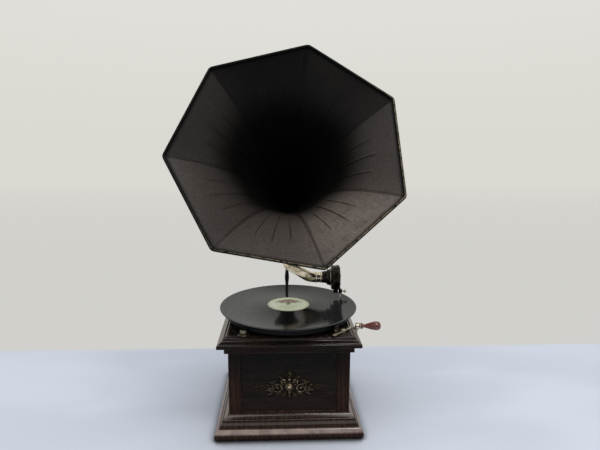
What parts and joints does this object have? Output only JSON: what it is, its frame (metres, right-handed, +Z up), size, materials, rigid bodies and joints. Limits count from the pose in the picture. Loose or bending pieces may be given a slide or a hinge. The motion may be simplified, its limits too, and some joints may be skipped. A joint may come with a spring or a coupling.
{
  "type": "horn gramophone",
  "caption": "Table gramophone with a moulded oak case, turntable and record, swinging tone arm, soundbox, side crank and a large petalled horn.",
  "frame": {"origin": "centre of the underside of the base, on the plane it stands on", "axes": "+Z up, -Y out of the case's front, +X towards the crank's side"},
  "size_m": [0.3605, 0.364, 0.6424],
  "materials": {
    "oak": "dark varnished oak, glossy",
    "oak_inside": "plain stained board",
    "gilt": "dulled gilt casting",
    "steel": "plain steel",
    "brass": "plain brass",
    "felt": "green felt",
    "shellac": "grooved black shellac",
    "label_paper": "printed paper",
    "nickel": "worn nickel plate",
    "redwood": "polished red-brown wood",
    "cast_iron": "black japanned iron",
    "mica": "mica sheet",
    "horn_lacquer": "dark brown lacquered sheet metal",
    "leather": "plain leather"
  },
  "bodies": {
    "case": {"base_plinth": "oak", "bottom_board": "oak_inside", "corner_post_back_right": "oak", "corner_post_back_left": "oak", "corner_post_front_left": "oak", "corner_post_front_right": "oak", "front_panel": "oak", "right_panel": "oak", "back_panel": "oak", "left_panel": "oak", "top_moulding": "oak", "deck_board": "oak", "front_ornament": "gilt", "motor_upper_plate": "steel", "motor_lower_plate": "steel", "winding_bearing": "brass", "crank_escutcheon": "nickel", "horn_bracket": "cast_iron", "bracket_screw_1": "steel", "bracket_screw_2": "steel", "bracket_screw_3": "steel", "bracket_screw_4": "steel", "brake_post": "nickel", "speed_plate": "nickel"},
    "turntable": {"turntable_spindle": "steel", "platter": "steel", "turntable_felt": "felt", "record": "shellac", "record_label": "label_paper"},
    "barrel": {"spring_barrel": "steel", "barrel_lid": "steel", "mainspring": "steel"},
    "winding_gear": {"winding_arbor": "steel"},
    "middle_gear": {"intermediate_gear": "brass"},
    "governor": {"governor_spindle": "steel", "governor_weights": "brass"},
    "crank": {"crank_arm": "nickel", "winding_shaft": "steel"},
    "grip": {"crank_grip": "redwood"},
    "arm": {"tone_arm": "nickel", "tone_arm_sleeve": "cast_iron"},
    "soundbox": {"soundbox_housing": "nickel", "soundbox_ring": "cast_iron", "diaphragm": "mica", "stylus_bar": "steel", "needle": "steel"},
    "needle_clamp": {"needle_screw": "nickel"},
    "horn": {"horn_petal_1": "horn_lacquer", "horn_petal_2": "horn_lacquer", "horn_petal_3": "horn_lacquer", "horn_petal_4": "horn_lacquer", "horn_petal_5": "horn_lacquer", "horn_petal_6": "horn_lacquer", "horn_petal_7": "horn_lacquer", "horn_elbow": "horn_lacquer", "horn_collar": "horn_lacquer"},
    "horn_clamp": {"horn_clamp_screw": "nickel"},
    "brake": {"brake_lever": "nickel", "brake_pad": "leather"},
    "speed": {"speed_knob": "nickel"}
  },
  "joints": [
    {"name": "turntable_spin", "type": "hinge", "parent": "case", "child": "turntable", "pos_m": [0, 0, 0.186], "axis": [0, 0, 1], "continuous": true},
    {"name": "middle_gear_spin", "type": "hinge", "parent": "case", "child": "middle_gear", "pos_m": [0.00614, 0.02937, 0.113], "axis": [0, 0, 1], "continuous": true},
    {"name": "barrel_spin", "type": "hinge", "parent": "case", "child": "barrel", "pos_m": [0.045, 0.00668, 0.088], "axis": [0, 0, 1], "continuous": true},
    {"name": "governor_spin", "type": "hinge", "parent": "case", "child": "governor", "pos_m": [0, -0.0224, 0.131], "axis": [1, 0, 0], "continuous": true},
    {"name": "crank_turn", "type": "hinge", "parent": "case", "child": "crank", "pos_m": [0.11, 0.00668, 0.117], "axis": [1, 0, 0], "continuous": true},
    {"name": "winding_gear_spin", "type": "hinge", "parent": "case", "child": "winding_gear", "pos_m": [0.045, 0.00668, 0.108], "axis": [0, 0, 1], "continuous": true},
    {"name": "grip_spin", "type": "hinge", "parent": "crank", "child": "grip", "pos_m": [0.14, -0.03936, 0.16602], "axis": [1, 0, 0], "continuous": true},
    {"name": "tone_arm_swing", "type": "hinge", "parent": "case", "child": "arm", "pos_m": [0, 0.14, 0.234], "axis": [0, 0, 1], "range_deg": [-25, 22]},
    {"name": "soundbox_lift", "type": "hinge", "parent": "arm", "child": "soundbox", "pos_m": [0.09, 0.04, 0.234], "axis": [-1, 0, 0], "range_deg": [0, 150]},
    {"name": "needle_screw_turn", "type": "hinge", "parent": "soundbox", "child": "needle_clamp", "pos_m": [0.108, 0.04, 0.206], "axis": [1, 0, 0], "range_deg": [0, 360]},
    {"name": "horn_swivel", "type": "hinge", "parent": "case", "child": "horn", "pos_m": [0, 0.14, 0.27], "axis": [0, 0, 1], "range_deg": [-100, 100]},
    {"name": "horn_clamp_turn", "type": "hinge", "parent": "case", "child": "horn_clamp", "pos_m": [0.03, 0.14, 0.261], "axis": [1, 0, 0], "range_deg": [0, 360]},
    {"name": "brake_swing", "type": "hinge", "parent": "case", "child": "brake", "pos_m": [0.088, -0.092, 0.18], "axis": [0, 0, 1], "range_deg": [0, 25]},
    {"name": "speed_turn", "type": "hinge", "parent": "case", "child": "speed", "pos_m": [-0.076, -0.096, 0.18], "axis": [0, 0, 1], "range_deg": [-150, 150]}
  ],
  "couplings": [
    {"joint": "middle_gear_spin", "follows": "turntable_spin", "ratio": -0.25},
    {"joint": "barrel_spin", "follows": "turntable_spin", "ratio": 0.0625},
    {"joint": "governor_spin", "follows": "turntable_spin", "ratio": -12},
    {"joint": "winding_gear_spin", "follows": "crank_turn", "ratio": 0.5}
  ]
}
